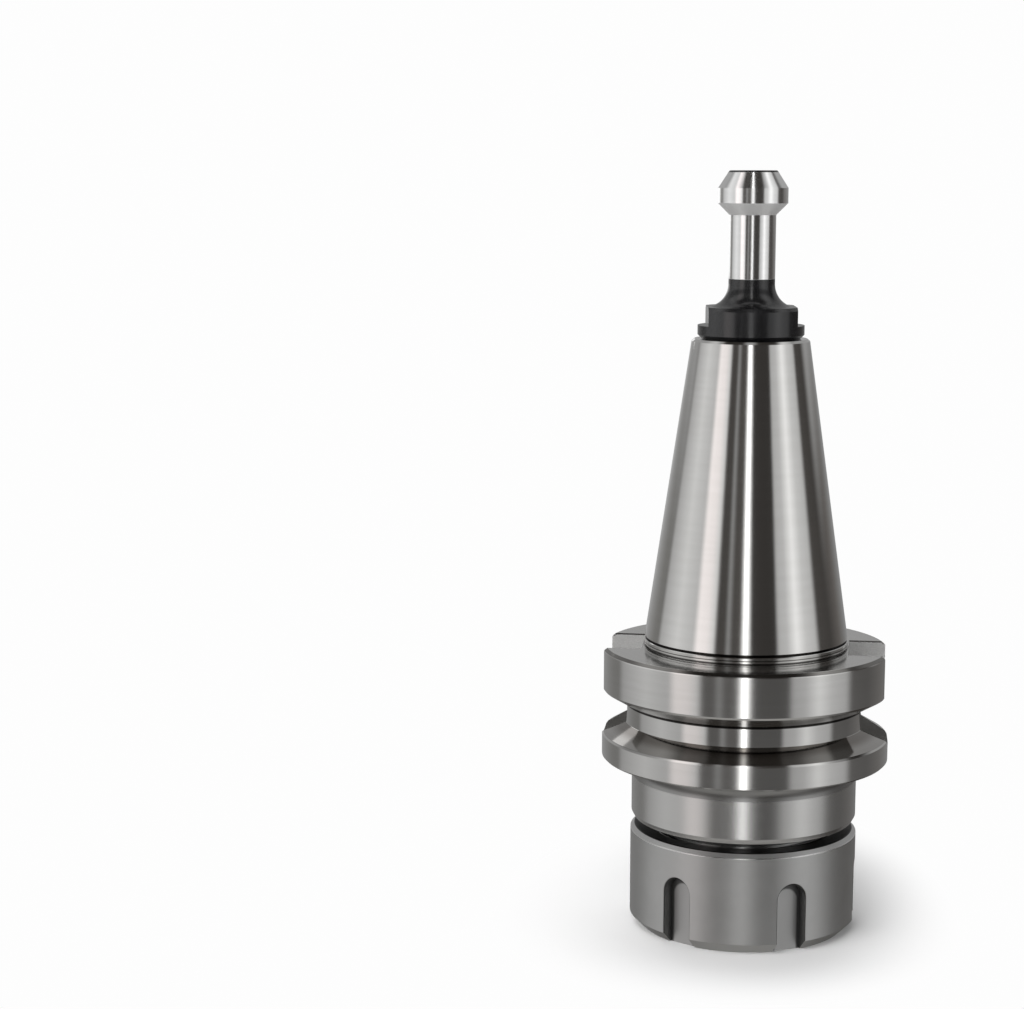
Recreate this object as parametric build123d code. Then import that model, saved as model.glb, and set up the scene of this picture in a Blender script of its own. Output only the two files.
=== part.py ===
from build123d import *
import math
import os

# Collet chuck holder: a 7/24 steep-taper shank of size 40 with a gripper
# flange, a pull stud, a clamping nut and a slotted spring collet.
# Millimetres. +Z runs up the taper towards the pull stud. The origin is the
# centre of the nut's front face, which is the face the chuck stands on.
# The two drive keyways lie on +X and -X.

os.makedirs("parts", exist_ok=True)

# ------------------------------------------------------------------ heights
GAUGE_Z = 65.0            # gauge plane above the nut's front face
TAPER_L = 65.4            # gauge plane to the small end
SEAT_Z = GAUGE_Z + TAPER_L  # end face that the pull stud seats on

# ------------------------------------------------------------------ taper
GAUGE_R = 22.225          # 44.45 mm gauge diameter
TAPER_SLOPE = 7.0 / 48.0  # radius change per mm of length
SMALL_R = GAUGE_R - TAPER_L * TAPER_SLOPE
TAPER_END_CH = 0.5

# ------------------------------------------------------------------ flange
FLANGE_R = 31.5
FACE_Z = GAUGE_Z - 2.0    # face towards the spindle nose
FRONT_CH = 0.62           # 45 degree bevel on the front band's upper edge
FRONT_EASE_R = 0.06       # the bevel's lower corner, eased with a narrow facet
FRONT_EASE_Z = 0.24
GROOVE_Z = GAUGE_Z - 16.6 # centre of the gripper groove
GROOVE_W = 10.0           # width at the outside diameter
GROOVE_FLOOR_R = 26.5
REAR_Z = GAUGE_Z - 27.0   # rear face of the flange
REAR_CH = 0.4
EDGE_BREAK = 0.3
COLLAR_R = 22.25          # short collar under the taper
RELIEF_R = 21.35          # grinding relief at the taper's foot
CORNER_R = 21.75          # fine undercut where collar meets face

# ------------------------------------------------------------------ keyways
KEY_W = 16.1
KEY_FLOOR = 22.5          # keyway floor from the axis
KEY_DEPTH = 21.0          # face to the bottom of the round end
KEY_CH = 0.3              # edge break along the keyway's mouth

# ------------------------------------------------------------------ nose
NOSE_R = 24.8
NOSE_Z0 = 24.55           # shoulder above the nut
NOSE_CH_R = 0.6
NOSE_CH_Z = 1.1
NECK_FILLET = 4.0
CORE_R = 19.1             # core of the M40 x 1.5 external thread
CORE_END_Z = 8.6
CORE_RELIEF_R = 18.8
CORE_RELIEF_Z = 23.2

# ------------------------------------------------------------------ inside
HALF_ANGLE = math.radians(8.0)
SEAT_GAP = 0.06           # collet to socket, square to the cone
BACK_BORE_R = 11.5
BACK_BORE_Z = 65.4
THROUGH_R = 7.0
STUD_HOLE_R = 7.55        # M16 thread, drawn at its mean diameter
STUD_HOLE_Z = SEAT_Z - 32.0
PILOT_HOLE_R = 8.55
PILOT_HOLE_Z = SEAT_Z - 7.0

# ------------------------------------------------------------------ pull stud
HEAD_R = 7.5
HEAD_TOP_R = 5.2
SHANK_R = 5.0
STUD_H = 35.8
HEAD_CH_Z = 3.7
HEAD_BAND_Z = 3.2
STUD_FILLET = 5.0         # shank to flange; meets the flange top at a slight angle
STUD_FILLET_H = 11.7      # height of the fillet's centre above the seat
STUD_COLLAR_R = 11.5
STUD_COLLAR_H = 6.9
STUD_COLLAR_CH = 0.7
STUD_COLLAR_CH2 = 0.9     # its lower edge
STUD_FLAT_AF = 19.0
STUD_LEDGE_H = 2.9
STUD_TURN = 7.2           # degrees the flats are turned from the keyways
PILOT_R = 8.5
STUD_THREAD_R = 7.45
STUD_BELOW = 25.0

# ------------------------------------------------------------------ nut
NUT_R = 25.0
NUT_L = 22.5
NUT_BOTTOM_CH = 2.4
NUT_TOP_CH = 0.9
NUT_THREAD_R = 20.05      # root of the M40 x 1.5 internal thread
NUT_THREAD_Z0 = 10.4
NUT_RELIEF_R = 20.6
NUT_FLOOR_Z = 7.45
RING_R = 16.15            # extractor ring, bored off centre
RING_OFFSET = 0.75
RING_Z0 = 5.5
RING_UNDERCUT_R = 16.3
CONE_TOP_Z = 4.75
CONE_GAP = 0.09
SLOT_N = 6
SLOT_W = 6.6
SLOT_FLOOR = 22.0         # slot floor from the axis
SLOT_TOP = 15.2
SLOT_CH_X = 24.53         # where the 45 degree lead-in round each slot starts
SLOT_CLOCK = -1.1         # middle of two slots, degrees from -Y towards +X

# ------------------------------------------------------------------ collet
COL_Z0 = 0.6              # front face, a little inside the nut
COL_L = 40.0
COL_R = 16.5              # 33 mm nominal
COL_HEAD_L = 7.2          # front face to the large end of the 8 degree cone
COL_GROOVE_W = 2.7
COL_GROOVE_R = 15.0
COL_LAND_R = 15.9
COL_FRONT_R = 13.6
COL_BORE_R = 8.0
COL_SLIT_W = 1.0
COL_SLIT_N = 8
COL_FRONT_SLIT_END = 33.6
COL_REAR_SLIT_END = 11.0


def turned(points):
    """Solid of revolution about Z from (r, z) points."""
    with BuildPart() as p:
        with BuildSketch(Plane.XZ):
            with BuildLine():
                Polyline(*points, close=True)
            make_face()
        revolve(axis=Axis.Z)
    return p.part


def cyl(r, z0, z1):
    return Pos(0, 0, z0) * Cylinder(
        r, z1 - z0, align=(Align.CENTER, Align.CENTER, Align.MIN)
    )


# =====================================================================
# holder body: taper, flange, nose and socket, one machined piece
# =====================================================================
half_top = GROOVE_W / 2.0
flank = (FLANGE_R - GROOVE_FLOOR_R) * math.tan(math.radians(30.0))
floor_half = half_top - flank
e = EDGE_BREAK
slope = math.tan(HALF_ANGLE)
socket_mouth_r = COL_R - (CORE_END_Z - COL_Z0 - COL_HEAD_L) * slope + SEAT_GAP
socket_end_z = COL_Z0 + COL_L + 2.0
socket_end_r = socket_mouth_r - (socket_end_z - CORE_END_Z) * slope

with BuildPart() as hb:
    with BuildSketch(Plane.XZ):
        with BuildLine():
            outer = [
                (socket_mouth_r + 0.35, CORE_END_Z),
                (CORE_R - 0.8, CORE_END_Z),
                (CORE_R, CORE_END_Z + 0.8),
                (CORE_R, CORE_RELIEF_Z - 0.3),
                (CORE_RELIEF_R, CORE_RELIEF_Z),
                (CORE_RELIEF_R, NOSE_Z0),
                (NOSE_R - NOSE_CH_R, NOSE_Z0),
                (NOSE_R, NOSE_Z0 + NOSE_CH_Z),
                (NOSE_R, REAR_Z - NECK_FILLET),
            ]
            Polyline(*outer)
            # concave neck fillet into the flange's rear face
            CenterArc(
                center=(NOSE_R + NECK_FILLET, REAR_Z - NECK_FILLET),
                radius=NECK_FILLET,
                start_angle=90,
                arc_size=90,
            )
            Polyline(
                (NOSE_R + NECK_FILLET, REAR_Z),
                (FLANGE_R - REAR_CH, REAR_Z),
                (FLANGE_R, REAR_Z + REAR_CH),
                (FLANGE_R, GROOVE_Z - half_top - e),
                (FLANGE_R - e, GROOVE_Z - half_top + e * 0.577),
                (GROOVE_FLOOR_R, GROOVE_Z - floor_half),
                (GROOVE_FLOOR_R, GROOVE_Z + floor_half),
                (FLANGE_R - e, GROOVE_Z + half_top - e * 0.577),
                (FLANGE_R, GROOVE_Z + half_top + e),
                (FLANGE_R, FACE_Z - FRONT_CH - FRONT_EASE_Z),
                (FLANGE_R - FRONT_EASE_R, FACE_Z - FRONT_CH),
                (FLANGE_R - FRONT_EASE_R - FRONT_CH, FACE_Z),
                (COLLAR_R + 0.35, FACE_Z),
                (CORNER_R, FACE_Z + 0.05),
                (CORNER_R, FACE_Z + 0.35),
                (COLLAR_R, FACE_Z + 0.45),
                (COLLAR_R, GAUGE_Z - 0.55),
                (COLLAR_R - 0.15, GAUGE_Z - 0.40),
                (RELIEF_R, GAUGE_Z - 0.38),
                (RELIEF_R, GAUGE_Z + 0.15),
                (GAUGE_R - 0.2 * TAPER_SLOPE, GAUGE_Z + 0.20),
                (SMALL_R + TAPER_END_CH * TAPER_SLOPE, SEAT_Z - TAPER_END_CH),
                (SMALL_R - TAPER_END_CH, SEAT_Z),
                (PILOT_HOLE_R + 0.4, SEAT_Z),
                (PILOT_HOLE_R, SEAT_Z - 0.4),
                (PILOT_HOLE_R, PILOT_HOLE_Z),
                (STUD_HOLE_R, PILOT_HOLE_Z - 1.0),
                (STUD_HOLE_R, STUD_HOLE_Z),
                (THROUGH_R, STUD_HOLE_Z - 0.5),
                (THROUGH_R, BACK_BORE_Z + 2.6),
                (BACK_BORE_R, BACK_BORE_Z),
                (BACK_BORE_R, socket_end_z + 0.3),
                (socket_end_r, socket_end_z),
                (socket_mouth_r - 0.35 * slope, CORE_END_Z + 0.35),
                (socket_mouth_r + 0.35, CORE_END_Z),
            )
        make_face()
    revolve(axis=Axis.Z)

holder_body = hb.part

# keyways: parallel-sided, flat floor, round lower end
key_centre_z = FACE_Z - KEY_DEPTH + KEY_W / 2.0
for sx in (1, -1):
    upper = Pos(sx * (KEY_FLOOR + 7.5), 0, (key_centre_z + FACE_Z + 2.0) / 2.0) * Box(
        15.0, KEY_W, FACE_Z + 2.0 - key_centre_z
    )
    lower = Pos(sx * (KEY_FLOOR + 7.5), 0, key_centre_z) * Rot(0, 90, 0) * Cylinder(
        KEY_W / 2.0, 15.0
    )
    holder_body = holder_body - upper
    holder_body = holder_body - lower
    with BuildPart() as lip:
        with BuildSketch(Plane.YZ.offset(sx * (KEY_FLOOR + 5.5) - 5.5)):
            with BuildLine():
                Polyline(
                    (-KEY_W / 2.0, FACE_Z - KEY_CH),
                    (-KEY_W / 2.0 - KEY_CH - 0.1, FACE_Z + 0.1),
                    (KEY_W / 2.0 + KEY_CH + 0.1, FACE_Z + 0.1),
                    (KEY_W / 2.0, FACE_Z - KEY_CH),
                    close=True,
                )
            make_face()
        extrude(amount=11.0)
    holder_body = holder_body - lip.part

# =====================================================================
# pull stud: head, shank, flange with two spanner flats, thread
# =====================================================================
top = SEAT_Z + STUD_H
band_top = top - HEAD_CH_Z
band_bot = band_top - HEAD_BAND_Z
cone_bot = band_bot - (HEAD_R - SHANK_R)
col_top = SEAT_Z + STUD_COLLAR_H
fillet_z = SEAT_Z + STUD_FILLET_H
fillet_sweep = math.degrees(math.asin((fillet_z - col_top) / STUD_FILLET))
fillet_foot_r = SHANK_R + STUD_FILLET * (1.0 - math.cos(math.radians(fillet_sweep)))
with BuildPart() as ps:
    with BuildSketch(Plane.XZ):
        with BuildLine():
            Polyline(
                (0, SEAT_Z - STUD_BELOW),
                (STUD_THREAD_R - 1.2, SEAT_Z - STUD_BELOW),
                (STUD_THREAD_R, SEAT_Z - STUD_BELOW + 1.2),
                (STUD_THREAD_R, SEAT_Z - 8.6),
                (6.7, SEAT_Z - 8.0),
                (6.7, SEAT_Z - 6.4),
                (PILOT_R, SEAT_Z - 6.0),
                (PILOT_R, SEAT_Z),
                (STUD_COLLAR_R - STUD_COLLAR_CH2, SEAT_Z),
                (STUD_COLLAR_R, SEAT_Z + STUD_COLLAR_CH2),
                (STUD_COLLAR_R, col_top - STUD_COLLAR_CH),
                (STUD_COLLAR_R - STUD_COLLAR_CH, col_top),
                (fillet_foot_r, col_top),
            )
            CenterArc(
                center=(SHANK_R + STUD_FILLET, fillet_z),
                radius=STUD_FILLET,
                start_angle=180,
                arc_size=fillet_sweep,
            )
            Polyline(
                (SHANK_R, fillet_z),
                (SHANK_R, cone_bot),
                (HEAD_R, band_bot),
                (HEAD_R, band_top),
                (HEAD_TOP_R, top - 0.15),
                (HEAD_TOP_R - 0.2, top),
                (1.7, top),
                (0.6, top - 1.9),
                (0.6, top - 2.6),
                (0, top - 2.9),
                (0, SEAT_Z - STUD_BELOW),
            )
        make_face()
    revolve(axis=Axis.Z)
pull_stud = ps.part
for s in (1, -1):
    flat = Pos(
        s * (STUD_FLAT_AF / 2.0 + 3.0), 0, SEAT_Z + STUD_LEDGE_H + 3.0
    ) * Box(6.0, 26.0, 6.0)
    pull_stud = pull_stud - Rot(0, 0, STUD_TURN) * flat

# =====================================================================
# clamping nut: six hook-spanner slots, 30 degree cone, offset ring
# =====================================================================
t30 = math.tan(math.radians(30.0))
cone_r0 = COL_FRONT_R + CONE_GAP / math.cos(math.radians(30.0))
cone_r_at = lambda z: cone_r0 + (z - COL_Z0) * t30
clamping_nut = turned(
    [
        (0, 0),
        (NUT_R - NUT_BOTTOM_CH, 0),
        (NUT_R, NUT_BOTTOM_CH),
        (NUT_R, NUT_L - NUT_TOP_CH - 0.1),
        (NUT_R - NUT_TOP_CH, NUT_L - 0.1),
        (NUT_R - NUT_TOP_CH - 0.2, NUT_L),
        (0, NUT_L),
    ]
)
clamping_nut -= turned(
    [
        (0, NUT_FLOOR_Z),
        (NUT_RELIEF_R - 0.3, NUT_FLOOR_Z),
        (NUT_RELIEF_R, NUT_FLOOR_Z + 0.3),
        (NUT_RELIEF_R, NUT_THREAD_Z0 - 0.5),
        (NUT_THREAD_R, NUT_THREAD_Z0),
        (NUT_THREAD_R, NUT_L - 0.8),
        (NUT_THREAD_R + 0.9, NUT_L + 0.1),
        (0, NUT_L + 0.1),
    ]
)
clamping_nut -= Pos(RING_OFFSET, 0, 0) * cyl(RING_R, RING_Z0, NUT_FLOOR_Z + 0.1)
clamping_nut -= turned(
    [
        (0, -0.1),
        (cone_r_at(0) + 0.3, -0.1),
        (cone_r_at(0) + 0.3, 0),
        (cone_r_at(0.2), 0.2),
        (cone_r_at(CONE_TOP_Z), CONE_TOP_Z),
        (RING_UNDERCUT_R, CONE_TOP_Z + 0.15),
        (RING_UNDERCUT_R, RING_Z0 + 0.01),
        (0, RING_Z0 + 0.01),
    ]
)
slot_c = SLOT_TOP - SLOT_W / 2.0
for i in range(SLOT_N):
    ang = -90.0 + SLOT_CLOCK + 30.0 + 60.0 * i
    body = Pos(SLOT_FLOOR + 4.0, 0, (slot_c - 1.0) / 2.0) * Box(8.0, SLOT_W, slot_c + 1.0)
    rnd = Pos(SLOT_FLOOR + 4.0, 0, slot_c) * Rot(0, 90, 0) * Cylinder(SLOT_W / 2.0, 8.0)
    clamping_nut = clamping_nut - Rot(0, 0, ang) * body
    clamping_nut = clamping_nut - Rot(0, 0, ang) * rnd
    # broken edge: a 45 degree countersink that follows the slot's outline
    w0 = SLOT_W / 2.0
    with BuildPart() as lead:
        with BuildSketch(Plane.XY.offset(-1.0)):
            with BuildLine():
                Polyline(
                    (SLOT_CH_X, -w0),
                    (SLOT_CH_X + 1.0, -w0 - 1.0),
                    (SLOT_CH_X + 1.0, w0 + 1.0),
                    (SLOT_CH_X, w0),
                    close=True,
                )
            make_face()
        extrude(amount=slot_c + 1.0)
    cone = Pos(SLOT_CH_X + 0.5, 0, slot_c) * Rot(0, 90, 0) * Cone(w0, w0 + 1.0, 1.0)
    clamping_nut = clamping_nut - Rot(0, 0, ang) * lead.part
    clamping_nut = clamping_nut - Rot(0, 0, ang) * cone

# =====================================================================
# spring collet: 8 degree body, front cone, extractor groove, slits
# =====================================================================
big_z = COL_Z0 + COL_HEAD_L
groove_z0 = big_z - COL_GROOVE_W
land_z0 = COL_Z0 + (COL_LAND_R - COL_FRONT_R) / t30
rear_z = COL_Z0 + COL_L
spring_collet = turned(
    [
        (COL_BORE_R + 0.4, COL_Z0),
        (COL_FRONT_R, COL_Z0),
        (COL_LAND_R, land_z0),
        (COL_LAND_R, groove_z0),
        (COL_GROOVE_R, groove_z0),
        (COL_GROOVE_R, big_z),
        (COL_R, big_z),
        (COL_R - (rear_z - 0.5 - big_z) * slope, rear_z - 0.5),
        (COL_R - (rear_z - big_z) * slope - 0.5, rear_z),
        (COL_BORE_R + 0.4, rear_z),
        (COL_BORE_R, rear_z - 0.4),
        (COL_BORE_R, COL_Z0 + 0.4),
    ]
)
for i in range(COL_SLIT_N):
    a = 360.0 / COL_SLIT_N * i
    f = Pos(12.0, 0, (COL_Z0 - 1.0 + COL_FRONT_SLIT_END) / 2.0) * Box(
        14.0, COL_SLIT_W, COL_FRONT_SLIT_END - COL_Z0 + 1.0
    )
    r = Pos(12.0, 0, (COL_REAR_SLIT_END + rear_z + 1.0) / 2.0) * Box(
        14.0, COL_SLIT_W, rear_z + 1.0 - COL_REAR_SLIT_END
    )
    spring_collet = spring_collet - Rot(0, 0, a) * f
    spring_collet = spring_collet - Rot(0, 0, a + 180.0 / COL_SLIT_N) * r

# =====================================================================
NODES = {
    "holder_body": holder_body,
    "pull_stud": pull_stud,
    "clamping_nut": clamping_nut,
    "spring_collet": spring_collet,
}
for name, shape in NODES.items():
    export_step(shape, "parts/" + name + ".step")
    bb = shape.bounding_box()
    print(
        name,
        len(shape.solids()),
        "volume %.1f" % shape.volume,
        "z %.2f..%.2f" % (bb.min.Z, bb.max.Z),
    )
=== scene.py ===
import math

import bmesh
import bpy
from mathutils import Matrix, Vector


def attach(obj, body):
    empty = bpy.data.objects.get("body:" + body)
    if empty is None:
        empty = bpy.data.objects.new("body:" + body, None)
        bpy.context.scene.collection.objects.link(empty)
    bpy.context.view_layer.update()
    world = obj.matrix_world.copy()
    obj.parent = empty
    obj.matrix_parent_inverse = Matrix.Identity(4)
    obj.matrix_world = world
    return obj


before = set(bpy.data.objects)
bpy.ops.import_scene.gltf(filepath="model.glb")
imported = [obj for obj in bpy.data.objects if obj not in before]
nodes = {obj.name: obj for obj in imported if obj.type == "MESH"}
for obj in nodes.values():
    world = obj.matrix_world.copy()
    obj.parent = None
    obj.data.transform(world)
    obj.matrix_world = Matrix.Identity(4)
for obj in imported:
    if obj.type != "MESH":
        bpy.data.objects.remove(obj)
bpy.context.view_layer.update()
scene = bpy.context.scene

MM = 0.001
TURN = math.radians(3.1)  # the camera's side-step round the spindle axis

# ---------------------------------------------------------------- node helpers


class Tree:
    """Short calls for building a node tree."""

    def __init__(self, tree):
        self.t = tree
        tree.nodes.clear()

    def node(self, kind, **settings):
        n = self.t.nodes.new(kind)
        for k, v in settings.items():
            setattr(n, k, v)
        return n

    def put(self, socket, value):
        if isinstance(value, bpy.types.NodeSocket):
            self.t.links.new(value, socket)
        elif value is not None:
            socket.default_value = value

    def math(self, op, a, b=None, c=None, clamp=False):
        n = self.node("ShaderNodeMath", operation=op, use_clamp=clamp)
        self.put(n.inputs[0], a)
        self.put(n.inputs[1], b)
        if c is not None:
            self.put(n.inputs[2], c)
        return n.outputs[0]

    def step(self, x, lo, hi, a=0.0, b=1.0, smooth=True):
        """From a to b as x goes from lo to hi."""
        n = self.node("ShaderNodeMapRange", interpolation_type="SMOOTHSTEP" if smooth else "LINEAR")
        n.clamp = True
        self.put(n.inputs["Value"], x)
        self.put(n.inputs["From Min"], lo)
        self.put(n.inputs["From Max"], hi)
        self.put(n.inputs["To Min"], a)
        self.put(n.inputs["To Max"], b)
        return n.outputs["Result"]

    def band(self, x, lo, hi, soft):
        """1 between lo and hi, 0 outside, with soft edges."""
        return self.math("MULTIPLY", self.step(x, lo - soft, lo + soft), self.step(x, hi - soft, hi + soft, 1.0, 0.0))

    def mix(self, fac, a, b):
        n = self.node("ShaderNodeMix", data_type="RGBA")
        self.put(n.inputs["Factor"], fac)
        self.put(n.inputs[6], a)
        self.put(n.inputs[7], b)
        return n.outputs[2]

    def lerp(self, fac, a, b):
        n = self.node("ShaderNodeMix", data_type="FLOAT")
        self.put(n.inputs["Factor"], fac)
        self.put(n.inputs[2], a)
        self.put(n.inputs[3], b)
        return n.outputs[0]

    def noise(self, vector, scale, detail=2.0, rough=0.5, lac=2.0):
        n = self.node("ShaderNodeTexNoise", noise_dimensions="3D")
        self.put(n.inputs["Vector"], vector)
        n.inputs["Scale"].default_value = scale
        n.inputs["Detail"].default_value = detail
        n.inputs["Roughness"].default_value = rough
        n.inputs["Lacunarity"].default_value = lac
        return n.outputs["Fac"]

    def ramp(self, fac, stops, interpolation="LINEAR"):
        n = self.node("ShaderNodeValToRGB")
        n.color_ramp.interpolation = interpolation
        els = n.color_ramp.elements
        while len(els) > 1:
            els.remove(els[-1])
        els[0].position, els[0].color = stops[0][0], grey(stops[0][1])
        for p, c in stops[1:]:
            els.new(p).color = grey(c)
        self.put(n.inputs["Fac"], fac)
        return n.outputs["Color"]

    def xyz(self, x, y, z):
        n = self.node("ShaderNodeCombineXYZ")
        self.put(n.inputs[0], x)
        self.put(n.inputs[1], y)
        self.put(n.inputs[2], z)
        return n.outputs[0]


def grey(c):
    return (c, c, c, 1.0) if isinstance(c, (int, float)) else (*c, 1.0)


# ---------------------------------------------------------------- materials


class Steel(Tree):
    """A turned or ground steel: round coordinates about the spindle axis and the shader."""

    def __init__(self, name):
        self.mat = bpy.data.materials.new(name)
        self.mat.use_nodes = True
        super().__init__(self.mat.node_tree)
        self.out = self.node("ShaderNodeOutputMaterial")
        self.bsdf = self.node("ShaderNodeBsdfPrincipled")
        self.t.links.new(self.bsdf.outputs[0], self.out.inputs["Surface"])
        self.pos = self.node("ShaderNodeTexCoord").outputs["Object"]
        s = self.node("ShaderNodeSeparateXYZ")
        self.t.links.new(self.pos, s.inputs[0])
        self.x, self.y, self.z = s.outputs
        self.r = self.math("SQRT", self.math("ADD", self.math("MULTIPLY", self.x, self.x), self.math("MULTIPLY", self.y, self.y)))
        self.cos = self.math("DIVIDE", self.x, self.math("MAXIMUM", self.r, 1e-5))
        self.sin = self.math("DIVIDE", self.y, self.math("MAXIMUM", self.r, 1e-5))
        self.zmm = self.math("MULTIPLY", self.z, 1000.0)
        self.rmm = self.math("MULTIPLY", self.r, 1000.0)

    def rings(self, pitch_mm, round_scale, detail=2.0, rough=0.6):
        """Streaks that run round the axis, about pitch_mm apart, on walls and on faces."""
        along = self.math("MULTIPLY", self.math("ADD", self.zmm, self.math("MULTIPLY", self.rmm, 1.31)), 1.0 / pitch_mm)
        v = self.xyz(
            self.math("MULTIPLY", self.cos, round_scale),
            self.math("MULTIPLY", self.sin, round_scale),
            along,
        )
        return self.noise(v, 1.0, detail, rough)

    def bump(self, height, distance, strength=1.0, after=None):
        n = self.node("ShaderNodeBump")
        n.inputs["Strength"].default_value = strength
        n.inputs["Distance"].default_value = distance
        self.put(n.inputs["Height"], height)
        if after is not None:
            self.put(n.inputs["Normal"], after)
        return n.outputs["Normal"]

    def set(self, name, value):
        self.put(self.bsdf.inputs[name], value)


def holder_steel():
    m = Steel("holder_steel_look")
    fine = m.rings(0.05, 2.0, 2.0, 0.6)
    wide = m.rings(1.1, 1.2, 2.0, 0.5)
    cloud = m.noise(m.pos, 110.0, 3.0, 0.6)
    grain = m.noise(m.pos, 4200.0, 2.0, 0.6)
    ground = m.step(m.zmm, 64.7, 65.1)
    nose = m.step(m.zmm, 33.7, 34.1, 1.0, 0.0)
    neck = m.math("MULTIPLY", m.band(m.zmm, 33.9, 38.1, 0.15), m.step(m.rmm, 30.9, 31.3, 1.0, 0.0))
    # the milled keyways: inside the slot's outline as seen along X, and outside its floor
    below = m.math("MINIMUM", m.math("SUBTRACT", m.zmm, 50.05), 0.0)
    ymm = m.math("MULTIPLY", m.y, 1000.0)
    reach = m.math("SQRT", m.math("ADD", m.math("MULTIPLY", ymm, ymm), m.math("MULTIPLY", below, below)))
    key = m.math("MULTIPLY", m.step(reach, 8.07, 8.11, 1.0, 0.0), m.step(m.math("ABSOLUTE", m.math("MULTIPLY", m.x, 1000.0)), 22.40, 22.44))
    face = m.math("MULTIPLY", m.band(m.zmm, 62.9, 63.1, 0.02), m.math("SUBTRACT", 1.0, key))
    groove = m.math("MULTIPLY", m.band(m.zmm, 43.4, 53.4, 0.1), m.step(m.rmm, 31.25, 31.45, 1.0, 0.0))
    # painted shade, near black, for narrow places that no light reaches: the relief under the taper, the corner
    # under the flange and the groove's upper inner corner
    painted_shade = m.math("MULTIPLY", m.band(m.zmm, 64.57, 65.2, 0.02), m.step(m.rmm, 22.0, 22.2, 1.0, 0.0))
    painted_shade = m.math("MAXIMUM", painted_shade, m.math("MULTIPLY", m.step(m.zmm, 36.7, 37.5), neck))
    corner = m.math("MULTIPLY", m.band(m.zmm, 50.2, 50.65, 0.08), m.step(m.rmm, 26.9, 27.1, 1.0, 0.0))
    painted_shade = m.math("MAXIMUM", painted_shade, m.math("MULTIPLY", corner, m.math("SUBTRACT", 1.0, key)))
    # painted shade on the groove's lower flank, dark brown, most on its inner half; and two fine dark rings on the
    # collar: painted shade in the undercut at its foot and a painted dark reflection across its middle
    flank_shade = m.math("MULTIPLY", m.step(m.zmm, 44.2, 45.5, 0.42, 0.8), m.band(m.rmm, 26.55, 31.25, 0.03))
    flank_shade = m.math("MULTIPLY", flank_shade, m.band(m.zmm, 43.4, 46.27, 0.05))
    flank_shade = m.math("MULTIPLY", flank_shade, m.math("SUBTRACT", 1.0, key))
    collar_shade_and_reflection = m.math("ADD", m.band(m.zmm, 63.74, 63.96, 0.05), m.band(m.zmm, 63.0, 63.26, 0.04))
    collar_shade_and_reflection = m.math("MULTIPLY", collar_shade_and_reflection, m.step(m.rmm, 22.4, 22.6, 1.0, 0.0))
    # painted shade: a faint darker line on the chamfers along the keyways' top edges
    mouth_shade = m.math("MULTIPLY", m.band(m.zmm, 62.72, 63.3, 0.02), m.band(m.math("ABSOLUTE", ymm), 7.9, 8.36, 0.02))
    mouth_shade = m.math("MULTIPLY", mouth_shade, m.step(m.math("ABSOLUTE", m.math("MULTIPLY", m.x, 1000.0)), 22.40, 22.44))
    base = m.mix(m.step(wide, 0.3, 0.7), (0.690, 0.684, 0.668, 1), (0.712, 0.706, 0.692, 1))
    base = m.mix(m.math("MULTIPLY", nose, 0.6), base, (0.64, 0.637, 0.625, 1))
    # painted shade: the fillet under the flange is coloured darker for the shade it lies in
    base = m.mix(neck, base, (0.46, 0.458, 0.45, 1))
    wall = m.mix(m.step(grain, 0.3, 0.7), (0.55, 0.548, 0.54, 1), (0.66, 0.658, 0.65, 1))
    # painted shade: the keyways' round bottoms are coloured darker than their milled walls
    base = m.mix(key, base, m.mix(m.step(m.zmm, 49.4, 50.4), (0.27, 0.265, 0.255, 1), wall))
    # painted shade on the groove's lower flank
    base = m.mix(flank_shade, base, (0.16, 0.14, 0.125, 1))
    # painted shade and a painted dark reflection: the two dark rings on the collar
    base = m.mix(m.math("MULTIPLY", collar_shade_and_reflection, 0.85, clamp=True), base, (0.10, 0.095, 0.09, 1))
    # painted dark reflection on the flange's upper bevel, which faces the dark overhead
    bevel_dark_reflection = m.math("MULTIPLY", m.band(m.zmm, 62.36, 62.98, 0.02), m.step(m.rmm, 30.8, 30.86))
    base = m.mix(bevel_dark_reflection, base, (0.27, 0.262, 0.25, 1))
    # painted shade, near black, in the relief, under the flange and in the groove's upper corner
    base = m.mix(painted_shade, base, (0.035, 0.033, 0.03, 1))
    base = m.mix(mouth_shade, base, (0.50, 0.498, 0.49, 1))
    rough = m.lerp(ground, 0.13, 0.10)
    rough = m.lerp(groove, rough, 0.09)
    rough = m.lerp(nose, rough, 0.26)
    rough = m.lerp(neck, rough, 0.32)
    rough = m.lerp(face, rough, 0.15)
    rough = m.lerp(key, rough, 0.58)
    rough = m.math("ADD", rough, m.math("MULTIPLY", m.math("SUBTRACT", fine, 0.5), 0.03))
    rough = m.math("ADD", rough, m.math("MULTIPLY", m.math("SUBTRACT", cloud, 0.5), 0.03), clamp=True)
    m.set("Base Color", base)
    m.set("Metallic", m.lerp(m.math("MULTIPLY", key, m.step(m.zmm, 49.4, 50.4)), 1.0, 0.62))
    m.set("Roughness", rough)
    n1 = m.bump(m.math("MULTIPLY", fine, m.math("SUBTRACT", 1.0, key)), 0.0000022, 0.5)
    m.set("Normal", m.bump(m.math("MULTIPLY", grain, m.math("ADD", m.math("MULTIPLY", key, 0.9), 0.05)), 0.000012, 0.5, after=n1))
    return m.mat


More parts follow.
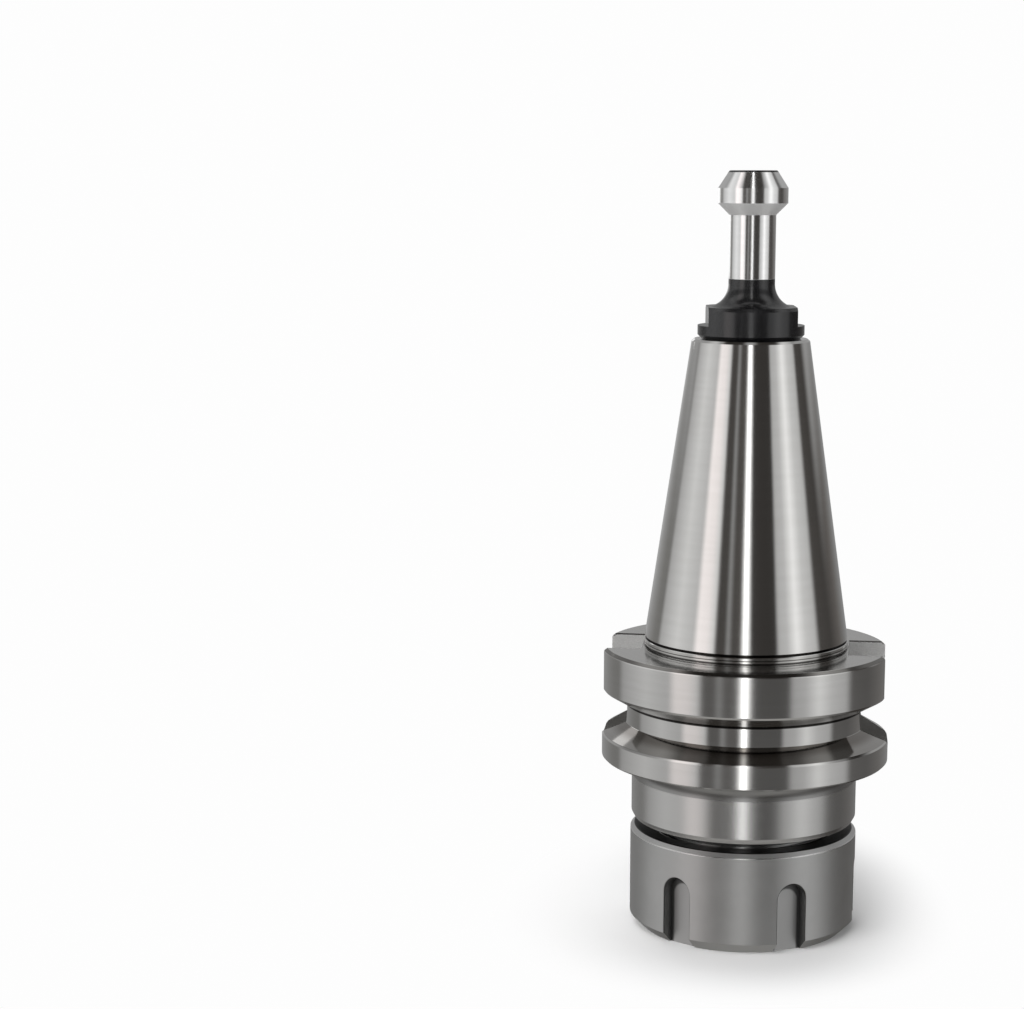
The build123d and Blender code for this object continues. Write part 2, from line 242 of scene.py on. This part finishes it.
def stud_steel():
    m = Steel("stud_steel_look")
    fine = m.rings(0.05, 2.0, 2.0, 0.6)
    wide = m.rings(0.9, 1.2, 2.0, 0.5)
    cloud = m.noise(m.pos, 260.0, 3.0, 0.6)
    line = m.math("ADD", m.zmm, m.math("MULTIPLY", m.math("SUBTRACT", cloud, 0.5), 0.22))
    bright = m.math("MULTIPLY", m.step(line, 143.15, 143.3), m.step(m.zmm, 165.76, 165.82, 1.0, 0.0))
    steel = m.mix(m.step(wide, 0.3, 0.7), (0.92, 0.92, 0.915, 1), (0.945, 0.945, 0.94, 1))
    oxide = m.mix(cloud, (0.006, 0.006, 0.0065, 1), (0.012, 0.012, 0.013, 1))
    cone = m.band(m.zmm, 156.8, 159.3, 0.06)
    rough = m.lerp(cone, 0.15, 0.40)
    rough = m.math("ADD", rough, m.math("MULTIPLY", m.math("SUBTRACT", fine, 0.5), 0.025))
    dark = m.math("ADD", 0.20, m.math("MULTIPLY", m.math("SUBTRACT", cloud, 0.5), 0.12))
    steel = m.mix(cone, steel, (0.90, 0.90, 0.895, 1))
    m.set("Base Color", m.mix(bright, oxide, steel))
    m.set("Metallic", m.lerp(bright, 0.0, m.lerp(cone, 1.0, 0.70)))
    m.set("Roughness", m.lerp(bright, dark, rough))
    m.bsdf.inputs["IOR"].default_value = 1.62
    m.set("Normal", m.bump(fine, 0.0000018, 0.5))
    return m.mat


def nut_steel():
    m = Steel("nut_steel_look")
    fine = m.rings(0.07, 2.0, 2.0, 0.6)
    grain = m.noise(m.pos, 5200.0, 2.0, 0.6)
    cloud = m.noise(m.pos, 120.0, 3.0, 0.6)
    # inside the spanner slots: deeper than the outer wall and, low down, than the chamfer
    skin = m.math("ADD", 24.93, m.math("MINIMUM", m.math("SUBTRACT", m.zmm, 2.4), 0.0))
    slot = m.math("MULTIPLY", m.step(m.math("SUBTRACT", m.rmm, skin), -0.05, 0.0, 1.0, 0.0), m.step(m.zmm, 15.75, 15.85, 1.0, 0.0))
    slot = m.math("MULTIPLY", slot, m.step(m.zmm, 0.01, 0.05))
    slot = m.math("MULTIPLY", slot, m.step(m.rmm, 21.3, 21.4))
    # across and out from the middle of the nearest slot, and the distance from the slot's middle line
    loc = m.math("WRAP", m.math("ADD", m.math("ARCTAN2", m.y, m.x), math.radians(1.1)), math.radians(30.0), math.radians(-30.0))
    side = m.math("MULTIPLY", m.rmm, m.math("SINE", loc))
    deep = m.math("MULTIPLY", m.rmm, m.math("COSINE", loc))
    above = m.math("MAXIMUM", m.math("SUBTRACT", m.zmm, 11.0), 0.0)
    reach = m.math("SQRT", m.math("ADD", m.math("MULTIPLY", side, side), m.math("MULTIPLY", above, above)))
    bed = m.step(deep, 22.04, 22.10, 1.0, 0.0)
    unshaded_bed = m.step(reach, 2.3, 2.85, 1.0, 0.0)
    bore_shade = m.math("MULTIPLY", m.step(m.rmm, 21.0, 21.1, 1.0, 0.0), m.step(m.zmm, 0.03, 0.1))
    rim_highlight = m.band(m.zmm, 21.36, 21.60, 0.04)
    lightened_bevel = m.step(m.zmm, 21.60, 21.66)
    lid_shade = m.math("MAXIMUM", m.step(m.zmm, 22.40, 22.46), m.step(m.rmm, 24.1, 24.18, 1.0, 0.0))
    lid_shade = m.math("MULTIPLY", lid_shade, m.step(m.zmm, 21.7, 21.8))
    base = m.mix(m.step(cloud, 0.3, 0.7), (0.57, 0.570, 0.562, 1), (0.61, 0.610, 0.602, 1))
    # painted shade: the slot floors darken towards their walls and under their round tops
    floor = m.mix(unshaded_bed, (0.14, 0.14, 0.139, 1), (0.52, 0.52, 0.515, 1))
    # painted shade: a thin dark line on the slots' lead-in chamfers
    lead_shade = m.math("MULTIPLY", m.step(deep, 24.45, 24.55), m.step(m.zmm, 2.0, 2.4))
    # painted light: the nut's top chamfer is coloured lighter, for the light it shows under the nose's overhang
    base = m.mix(lightened_bevel, base, (0.66, 0.66, 0.655, 1))
    # painted shade: the slot walls are coloured dark
    base = m.mix(slot, base, m.mix(bed, (0.27, 0.27, 0.268, 1), floor))
    base = m.mix(m.math("MULTIPLY", slot, lead_shade), base, (0.12, 0.12, 0.12, 1))
    # painted shade, near black, on the bore and on the nut's top face inside its chamfer: the dark gap under the nose
    base = m.mix(m.math("MAXIMUM", bore_shade, lid_shade), base, (0.03, 0.03, 0.03, 1))
    # painted highlight: a bright ring along the lower edge of the nut's top chamfer
    base = m.mix(rim_highlight, base, (0.82, 0.82, 0.81, 1))
    rough = m.math("ADD", 0.42, m.math("MULTIPLY", m.math("SUBTRACT", cloud, 0.5), 0.08))
    rough = m.math("ADD", rough, m.math("MULTIPLY", m.math("SUBTRACT", grain, 0.5), 0.10))
    rough = m.lerp(rim_highlight, rough, 0.26)
    m.set("Base Color", base)
    m.set("Metallic", 1.0)
    m.set("Roughness", rough)
    n1 = m.bump(fine, 0.0000025, 0.4)
    m.set("Normal", m.bump(grain, 0.000006, 0.5, after=n1))
    return m.mat


def collet_steel():
    m = Steel("collet_steel_look")
    fine = m.rings(0.08, 3.0, 3.0, 0.7)
    cloud = m.noise(m.pos, 150.0, 3.0, 0.6)
    base = m.mix(m.step(cloud, 0.3, 0.7), (0.60, 0.59, 0.58, 1), (0.68, 0.67, 0.66, 1))
    rough = m.math("ADD", 0.20, m.math("MULTIPLY", m.math("SUBTRACT", fine, 0.5), 0.10))
    m.set("Base Color", base)
    m.set("Metallic", 1.0)
    m.set("Roughness", rough)
    m.set("Normal", m.bump(fine, 0.000006, 0.5))
    return m.mat


def dress(obj, mat):
    obj.data.materials.clear()
    obj.data.materials.append(mat)


dress(nodes["holder_body"], holder_steel())
dress(nodes["pull_stud"], stud_steel())
dress(nodes["clamping_nut"], nut_steel())
dress(nodes["spring_collet"], collet_steel())

# ---------------------------------------------------------------- threads

PITCH = 1.5


def ridge(name, z0, z1, root_r, crest_r, phase, root_half, crest_half, fade_lo, fade_hi, per_turn=120):
    """A helical ridge, right-hand, 1.5 mm pitch, from z0 to z1 in mm. Its crest dies away into the root at both ends."""
    turns = (z1 - z0) / PITCH
    count = int(turns * per_turn)
    sign = 1.0 if crest_r > root_r else -1.0
    bm = bmesh.new()
    rows = []
    for i in range(count + 1):
        z = z0 + (z1 - z0) * i / count
        a = 2 * math.pi * (z / PITCH) + phase
        k = min(1.0, (z - z0) / fade_lo, (z1 - z) / fade_hi)
        k = max(k, 0.0)
        top = root_r + (crest_r - root_r) * k
        half = root_half + (crest_half - root_half) * k
        soft = 0.05 * k
        prof = [
            (root_r, -root_half),
            (top - sign * soft, -half - soft * 0.4),
            (top, -half + soft),
            (top, half - soft),
            (top - sign * soft, half + soft * 0.4),
            (root_r, root_half),
        ]
        rows.append([bm.verts.new((r * math.cos(a) * MM, r * math.sin(a) * MM, (z + dz) * MM)) for r, dz in prof])
    for p, q in zip(rows, rows[1:]):
        for j in range(len(p)):
            k = (j + 1) % len(p)
            bm.faces.new((p[j], q[j], q[k], p[k]))
    bm.faces.new(rows[0])
    bm.faces.new(list(reversed(rows[-1])))
    bmesh.ops.recalc_face_normals(bm, faces=bm.faces)
    me = bpy.data.meshes.new(name)
    bm.to_mesh(me)
    bm.free()
    obj = bpy.data.objects.new(name, me)
    scene.collection.objects.link(obj)
    for p in me.polygons:
        p.use_smooth = True
    me.set_sharp_from_angle(angle=math.radians(25))
    return obj


def thread_steel(name, base, rough):
    m = Steel(name)
    fine = m.rings(0.06, 2.0, 2.0, 0.7)
    cloud = m.noise(m.pos, 300.0, 3.0, 0.6)
    m.set("Base Color", m.mix(m.step(cloud, 0.3, 0.7), (base * 0.9, base * 0.9, base * 0.89, 1), (base, base, base, 1)))
    m.set("Metallic", 1.0)
    m.set("Roughness", m.math("ADD", rough, m.math("MULTIPLY", m.math("SUBTRACT", fine, 0.5), 0.12)))
    m.set("Normal", m.bump(fine, 0.000005, 0.4))
    return m.mat


nose_thread = ridge("nose_thread", 9.1, 24.2, 18.75, 19.92, 0.0, 0.62, 0.10, 1.2, 0.9)
dress(nose_thread, thread_steel("nose_thread_look", 0.62, 0.18))
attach(nose_thread, "holder")

nut_thread = ridge("nut_thread", 10.9, 21.6, 20.2, 19.22, math.pi, 0.62, 0.19, 0.9, 0.9)
dress(nut_thread, thread_steel("nut_thread_look", 0.5, 0.3))
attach(nut_thread, "nut")

# ---------------------------------------------------------------- camera

yaw, pitch, roll = -0.102741, 0.162574, 0.000356
dist, height, focal_px = 0.502323, 0.166053, 2311.2889
fwd0 = Vector((math.sin(yaw), math.cos(yaw), 0))
right0 = Vector((math.cos(yaw), -math.sin(yaw), 0))
up0 = Vector((0, 0, 1))
fwd = fwd0 * math.cos(pitch) - up0 * math.sin(pitch)
up1 = up0 * math.cos(pitch) + fwd0 * math.sin(pitch)
right = right0 * math.cos(roll) + up1 * math.sin(roll)
up = -right0 * math.sin(roll) + up1 * math.cos(roll)
R = Matrix.Rotation(TURN, 3, "Z")
M = Matrix((R @ right, R @ up, -(R @ fwd))).transposed()

cam_data = bpy.data.cameras.new("camera")
cam = bpy.data.objects.new("camera", cam_data)
scene.collection.objects.link(cam)
cam.matrix_world = Matrix.Translation(R @ Vector((0, -dist, height))) @ M.to_4x4()
cam_data.sensor_fit = "HORIZONTAL"
cam_data.sensor_width = 36.0
cam_data.lens = focal_px * 36.0 / 1024.0
cam_data.shift_x = 0.0
cam_data.shift_y = (550.0 - 504.5) / 1024.0
cam_data.clip_start, cam_data.clip_end = 0.01, 50.0
scene.camera = cam

# ---------------------------------------------------------------- studio

BACK = 0.985  # the backdrop's linear grey

world = bpy.data.worlds.new("studio")
scene.world = world
world.use_nodes = True
w = Tree(world.node_tree)
w_out = w.node("ShaderNodeOutputWorld")
rot = w.node("ShaderNodeVectorRotate", rotation_type="Z_AXIS")
w.put(rot.inputs["Vector"], w.node("ShaderNodeTexCoord").outputs["Generated"])
rot.inputs["Angle"].default_value = -TURN
sep = w.node("ShaderNodeSeparateXYZ")
w.put(sep.inputs[0], rot.outputs[0])
# a surface that turns the view to a direction faces half-way between it and the camera: twice that facing's
# azimuth places the cards, 0 at the camera and + to the right, so the bands line up on walls, cones and bevels
half = w.math("ARCTAN2", sep.outputs[0], w.math("SUBTRACT", 1.0001, sep.outputs[1]))
turn = w.math("MULTIPLY_ADD", half, 1.0 / math.pi, 0.5)
deg = w.math("MULTIPLY", half, 360.0 / math.pi)
el = w.math("MULTIPLY", w.math("ARCSINE", sep.outputs[2]), 180.0 / math.pi)


def at(deg):
    return deg / 360.0 + 0.5


WARM = (1.0, 0.985, 0.955)
PINK = (1.0, 0.945, 0.94)
BROWN = (1.0, 0.93, 0.88)


def t(v, tint=(1, 1, 1)):
    return tuple(v * c for c in tint)


# a strip light over the camera, a large soft box on each side with a dark gap between, and a dim grey room behind
cards = [
    (at(-180), t(0.70)),
    (at(-166), t(0.50)),
    (at(-150), t(0.36)),
    (at(-128), t(0.23, WARM)),
    (at(-118), t(0.21, WARM)),
    (at(-112), t(0.50)),
    (at(-84), t(0.80)),
    (at(-62), t(0.62)),
    (at(-56), t(1.22, PINK)),
    (at(-45), t(1.12, PINK)),
    (at(-37), t(0.84)),
    (at(-33), t(0.07, BROWN)),
    (at(-24), t(0.08, BROWN)),
    (at(-20), t(0.34)),
    (at(-15), t(0.09, BROWN)),
    (at(-6), t(0.085, BROWN)),
    (at(-4), t(1.0)),
    (at(4), t(1.0)),
    (at(6), t(0.05, BROWN)),
    (at(34), t(0.045, BROWN)),
    (at(38), t(0.56)),
    (at(48), t(0.64)),
    (at(60), t(1.12)),
    (at(72), t(0.74)),
    (at(86), t(0.60)),
    (at(92), t(0.08, BROWN)),
    (at(112), t(0.065, BROWN)),
    (at(132), t(0.14, BROWN)),
    (at(156), t(0.27)),
    (at(180), t(0.43)),
]
ring = w.ramp(turn, cards)
haze = w.step(el, -4.0, -16.0, 0.0, 0.40)
dim = w.math("MULTIPLY", w.step(el, 13.0, 20.0, 0.0, 0.62), w.step(el, 32.0, 42.0, 1.0, 0.0))
under = w.step(el, -28.0, -37.0, 0.0, 0.76)
top = w.step(el, 53.0, 66.0)
low = w.step(el, -50.0, -62.0)
overhead = w.step(el, 81.0, 87.0)
behind = w.math("MULTIPLY", w.step(sep.outputs[1], 0.30, 0.60), w.step(el, -2.0, 3.0))
col = w.mix(haze, ring, grey(0.20))
col = w.mix(dim, col, grey((0.006, 0.005, 0.004)))
col = w.mix(under, col, grey((0.022, 0.017, 0.013)))
col = w.mix(top, col, grey((0.036, 0.033, 0.030)))
col = w.mix(behind, col, grey(0.37))
strip = w.band(deg, -2.2, 2.2, 0.6)
strip = w.math("MULTIPLY", strip, w.math("SUBTRACT", 1.0, behind))
strip = w.math("MULTIPLY", strip, w.step(el, 66.0, 76.0, 1.0, 0.04))
bright = w.mix(w.band(el, -6.0, 4.5, 1.0), grey(3.0), grey(1.0))
col = w.mix(strip, col, w.mix(under, bright, grey(1.0)))
col = w.mix(low, col, grey((0.365, 0.36, 0.35)))
col = w.mix(overhead, col, grey(0.42))
shine = w.node("ShaderNodeBackground")
w.put(shine.inputs["Color"], col)
shine.inputs["Strength"].default_value = 1.0
soft = w.node("ShaderNodeBackground")  # what lights matt surfaces: an even dome and two soft boxes
level = grey(0.22)
for aim, power in (((-0.40, -0.70, 0.60), 4.1), ((-0.16, 0.52, 0.83), 1.9)):
    near = w.node("ShaderNodeVectorMath", operation="DOT_PRODUCT")
    w.put(near.inputs[0], rot.outputs[0])
    near.inputs[1].default_value = Vector(aim).normalized()
    level = w.mix(w.step(near.outputs["Value"], 0.80, 0.97), level, grey(power))
w.put(soft.inputs["Color"], level)
soft.inputs["Strength"].default_value = 1.0
plain = w.node("ShaderNodeBackground")
plain.inputs["Color"].default_value = grey(BACK)
plain.inputs["Strength"].default_value = 1.0
path = w.node("ShaderNodeLightPath")
mix1 = w.node("ShaderNodeMixShader")
w.put(mix1.inputs[0], path.outputs["Is Diffuse Ray"])
w.put(mix1.inputs[1], shine.outputs[0])
w.put(mix1.inputs[2], soft.outputs[0])
mix2 = w.node("ShaderNodeMixShader")
w.put(mix2.inputs[0], path.outputs["Is Camera Ray"])
w.put(mix2.inputs[1], mix1.outputs[0])
w.put(mix2.inputs[2], plain.outputs[0])
w.put(w_out.inputs["Surface"], mix2.outputs[0])

# a small card behind on the left, as high as the stud, that only its polished left edge shows
card_data = bpy.data.lights.new("side_card", "AREA")
card_data.shape = "RECTANGLE"
card_data.size, card_data.size_y = 0.12, 0.042
card_data.energy = math.pi * 0.12 * 0.042 * 0.70
card = bpy.data.objects.new("side_card", card_data)
side = R @ Vector((0.20 * math.sin(math.radians(-152)), -0.20 * math.cos(math.radians(-152)), 0))
card.location = side + Vector((0, 0, 0.1550))
card.rotation_euler = (-side).to_track_quat("-Z", "Y").to_euler()
card.visible_camera = card.visible_diffuse = card.visible_transmission = False
scene.collection.objects.link(card)

# the floor: pale, matt, and as bright as the backdrop away from the object
floor_me = bpy.data.meshes.new("floor")
bm = bmesh.new()
bmesh.ops.create_circle(bm, cap_ends=True, segments=128, radius=6.0)
bm.to_mesh(floor_me)
bm.free()
floor = bpy.data.objects.new("floor", floor_me)
floor.location = (0, 0, -0.00002)
scene.collection.objects.link(floor)
floor.visible_glossy = False
fm = bpy.data.materials.new("floor_look")
fm.use_nodes = True
f = Tree(fm.node_tree)
f_out = f.node("ShaderNodeOutputMaterial")
geo = f.node("ShaderNodeNewGeometry")
pos = geo.outputs["Position"]
spot = f.node("ShaderNodeSeparateXYZ")
f.put(spot.inputs[0], pos)
back = f.math("MAXIMUM", f.math("MULTIPLY", spot.outputs[1], 0.6), f.math("MULTIPLY", spot.outputs[1], -1.0))
across = f.math("MAXIMUM", f.math("MULTIPLY", spot.outputs[0], 1.15), f.math("MULTIPLY", spot.outputs[0], -1.0))
away = f.math("SQRT", f.math("ADD", f.math("MULTIPLY", across, across), f.math("MULTIPLY", back, back)))
fade = f.step(away, 0.028, 0.056)
diff = f.node("ShaderNodeBsdfDiffuse")
diff.inputs["Color"].default_value = grey(0.92)
emit = f.node("ShaderNodeEmission")
emit.inputs["Color"].default_value = grey(BACK)
mixf = f.node("ShaderNodeMixShader")
f.put(mixf.inputs[0], fade)
f.put(mixf.inputs[1], diff.outputs[0])
f.put(mixf.inputs[2], emit.outputs[0])
clear = f.node("ShaderNodeBsdfTransparent")
oneside = f.node("ShaderNodeMixShader")  # seen from below, the floor isn't there
f.put(oneside.inputs[0], geo.outputs["Backfacing"])
f.put(oneside.inputs[1], mixf.outputs[0])
f.put(oneside.inputs[2], clear.outputs[0])
f.put(f_out.inputs["Surface"], oneside.outputs[0])
dress(floor, fm)

scene.view_settings.view_transform = "Standard"
scene.view_settings.look = "None"
scene.view_settings.exposure = 0.0
scene.view_settings.gamma = 1.0
